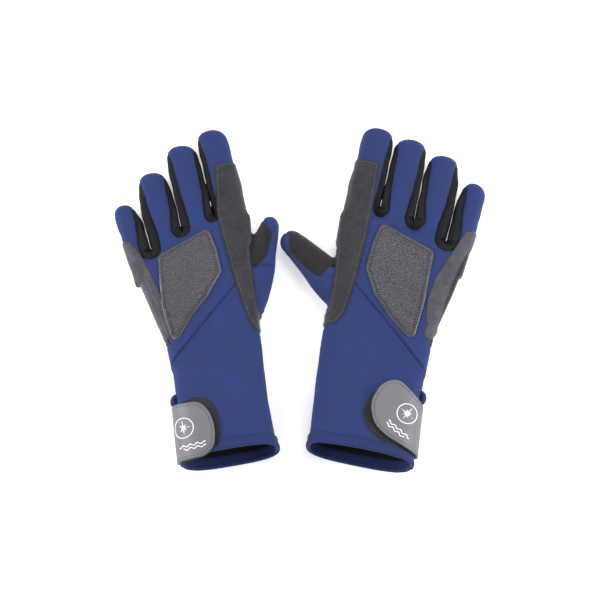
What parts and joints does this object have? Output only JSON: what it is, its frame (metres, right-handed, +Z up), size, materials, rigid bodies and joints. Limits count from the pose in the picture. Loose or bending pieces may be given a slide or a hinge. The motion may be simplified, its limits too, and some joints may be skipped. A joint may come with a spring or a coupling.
{
  "type": "pair of sailing gloves",
  "caption": "Pair of full-finger neoprene sailing gloves with long gauntlet cuffs, knuckle and side patches, bending fingers and hook-and-loop wrist straps.",
  "frame": {"origin": "middle of the pair's box, on the surface the gloves lie on", "axes": "+X towards the right-hand glove, +Y towards the fingertips, +Z up, off the backs of the hands"},
  "size_m": [0.3542, 0.326, 0.0525],
  "materials": {
    "blue_neoprene": "fine jersey over neoprene",
    "black_knit": "matt stretch knit",
    "navy_binding": "folded neoprene hem, stitched",
    "black_lining": "brushed jersey",
    "pebbled_leather": "pebbled, satin",
    "grey_suede": "matt synthetic suede",
    "loop_fabric": "brushed loop pile",
    "strap_rubber": "smooth matt",
    "hook_plastic": "hook tape"
  },
  "bodies": {
    "left_hand": {"left_hand_back": "blue_neoprene", "left_hand_palm": "black_knit", "left_cuff": "blue_neoprene", "left_cuff_hem": "navy_binding", "left_cuff_gusset": "black_knit", "left_lining": "black_lining", "left_pull_loop": "navy_binding", "left_knuckle_patch": "pebbled_leather", "left_index_guard_hand": "grey_suede", "left_little_guard": "grey_suede", "left_palm_patch": "grey_suede", "left_loop_pad": "loop_fabric", "left_strap_base": "strap_rubber"},
    "left_index": {"left_index_back": "blue_neoprene", "left_index_palm": "black_knit", "left_index_sides": "black_knit", "left_index_guard_finger": "grey_suede"},
    "left_middle": {"left_middle_back": "blue_neoprene", "left_middle_palm": "black_knit", "left_middle_sides": "black_knit"},
    "left_ring": {"left_ring_back": "blue_neoprene", "left_ring_palm": "black_knit", "left_ring_sides": "black_knit"},
    "left_little": {"left_little_back": "blue_neoprene", "left_little_palm": "black_knit", "left_little_sides": "black_knit"},
    "left_thumb": {"left_thumb_back": "blue_neoprene", "left_thumb_palm": "grey_suede"},
    "left_strap": {"left_strap_tab": "strap_rubber", "left_hook_tape": "hook_plastic"},
    "right_hand": {"right_hand_back": "blue_neoprene", "right_hand_palm": "black_knit", "right_cuff": "blue_neoprene", "right_cuff_hem": "navy_binding", "right_cuff_gusset": "black_knit", "right_lining": "black_lining", "right_pull_loop": "navy_binding", "right_knuckle_patch": "pebbled_leather", "right_index_guard_hand": "grey_suede", "right_little_guard": "grey_suede", "right_palm_patch": "grey_suede", "right_loop_pad": "loop_fabric", "right_strap_base": "strap_rubber"},
    "right_index": {"right_index_back": "blue_neoprene", "right_index_palm": "black_knit", "right_index_sides": "black_knit", "right_index_guard_finger": "grey_suede"},
    "right_middle": {"right_middle_back": "blue_neoprene", "right_middle_palm": "black_knit", "right_middle_sides": "black_knit"},
    "right_ring": {"right_ring_back": "blue_neoprene", "right_ring_palm": "black_knit", "right_ring_sides": "black_knit"},
    "right_little": {"right_little_back": "blue_neoprene", "right_little_palm": "black_knit", "right_little_sides": "black_knit"},
    "right_thumb": {"right_thumb_back": "blue_neoprene", "right_thumb_palm": "grey_suede"},
    "right_strap": {"right_strap_tab": "strap_rubber", "right_hook_tape": "hook_plastic"}
  },
  "joints": [
    {"name": "left_index_bend", "type": "hinge", "parent": "left_hand", "child": "left_index", "pos_m": [-0.07038, 0.08913, 0.0155], "axis": [-0.9833, -0.1822, 0], "range_deg": [0, 70], "stiffness_Nm_per_rad": 0.3},
    {"name": "left_middle_bend", "type": "hinge", "parent": "left_hand", "child": "left_middle", "pos_m": [-0.10028, 0.07451, 0.01549], "axis": [-0.9848, -0.1736, 0], "range_deg": [0, 70], "stiffness_Nm_per_rad": 0.3},
    {"name": "left_ring_bend", "type": "hinge", "parent": "left_hand", "child": "left_ring", "pos_m": [-0.13001, 0.06012, 0.01532], "axis": [-0.9799, -0.1994, 0], "range_deg": [0, 70], "stiffness_Nm_per_rad": 0.3},
    {"name": "left_little_bend", "type": "hinge", "parent": "left_hand", "child": "left_little", "pos_m": [-0.15767, 0.04693, 0.01496], "axis": [-0.9563, -0.2924, 0], "range_deg": [0, 70], "stiffness_Nm_per_rad": 0.3},
    {"name": "left_thumb_bend", "type": "hinge", "parent": "left_hand", "child": "left_thumb", "pos_m": [-0.03916, 0.04055, 0.01368], "axis": [-0.9781, 0.2079, 0], "range_deg": [0, 55], "stiffness_Nm_per_rad": 0.3},
    {"name": "left_strap_open", "type": "hinge", "parent": "left_hand", "child": "left_strap", "pos_m": [-0.12335, -0.13152, 0.024], "axis": [0.1392, -0.9903, 0], "range_deg": [0, 120]},
    {"name": "right_index_bend", "type": "hinge", "parent": "right_hand", "child": "right_index", "pos_m": [0.05793, 0.09069, 0.01518], "axis": [-0.9759, 0.2181, 0], "range_deg": [0, 70], "stiffness_Nm_per_rad": 0.3},
    {"name": "right_middle_bend", "type": "hinge", "parent": "right_hand", "child": "right_middle", "pos_m": [0.09014, 0.07829, 0.01519], "axis": [-0.9789, 0.2045, 0], "range_deg": [0, 70], "stiffness_Nm_per_rad": 0.3},
    {"name": "right_ring_bend", "type": "hinge", "parent": "right_hand", "child": "right_ring", "pos_m": [0.12198, 0.0661, 0.01515], "axis": [-0.9767, 0.2147, 0], "range_deg": [0, 70], "stiffness_Nm_per_rad": 0.3},
    {"name": "right_little_bend", "type": "hinge", "parent": "right_hand", "child": "right_little", "pos_m": [0.15195, 0.05475, 0.01494], "axis": [-0.9455, 0.3256, 0], "range_deg": [0, 70], "stiffness_Nm_per_rad": 0.3},
    {"name": "right_thumb_bend", "type": "hinge", "parent": "right_hand", "child": "right_thumb", "pos_m": [0.01297, 0.02417, 0.01418], "axis": [-0.6756, -0.7373, 0], "range_deg": [0, 55], "stiffness_Nm_per_rad": 0.3},
    {"name": "right_strap_open", "type": "hinge", "parent": "right_hand", "child": "right_strap", "pos_m": [0.1131, -0.13181, 0.024], "axis": [0.1392, 0.9903, 0], "range_deg": [0, 120]},
    {"name": "gloves_apart", "type": "slide", "parent": "left_hand", "child": "right_hand", "axis": [1, 0, 0], "range_m": [0, 0.12]}
  ]
}
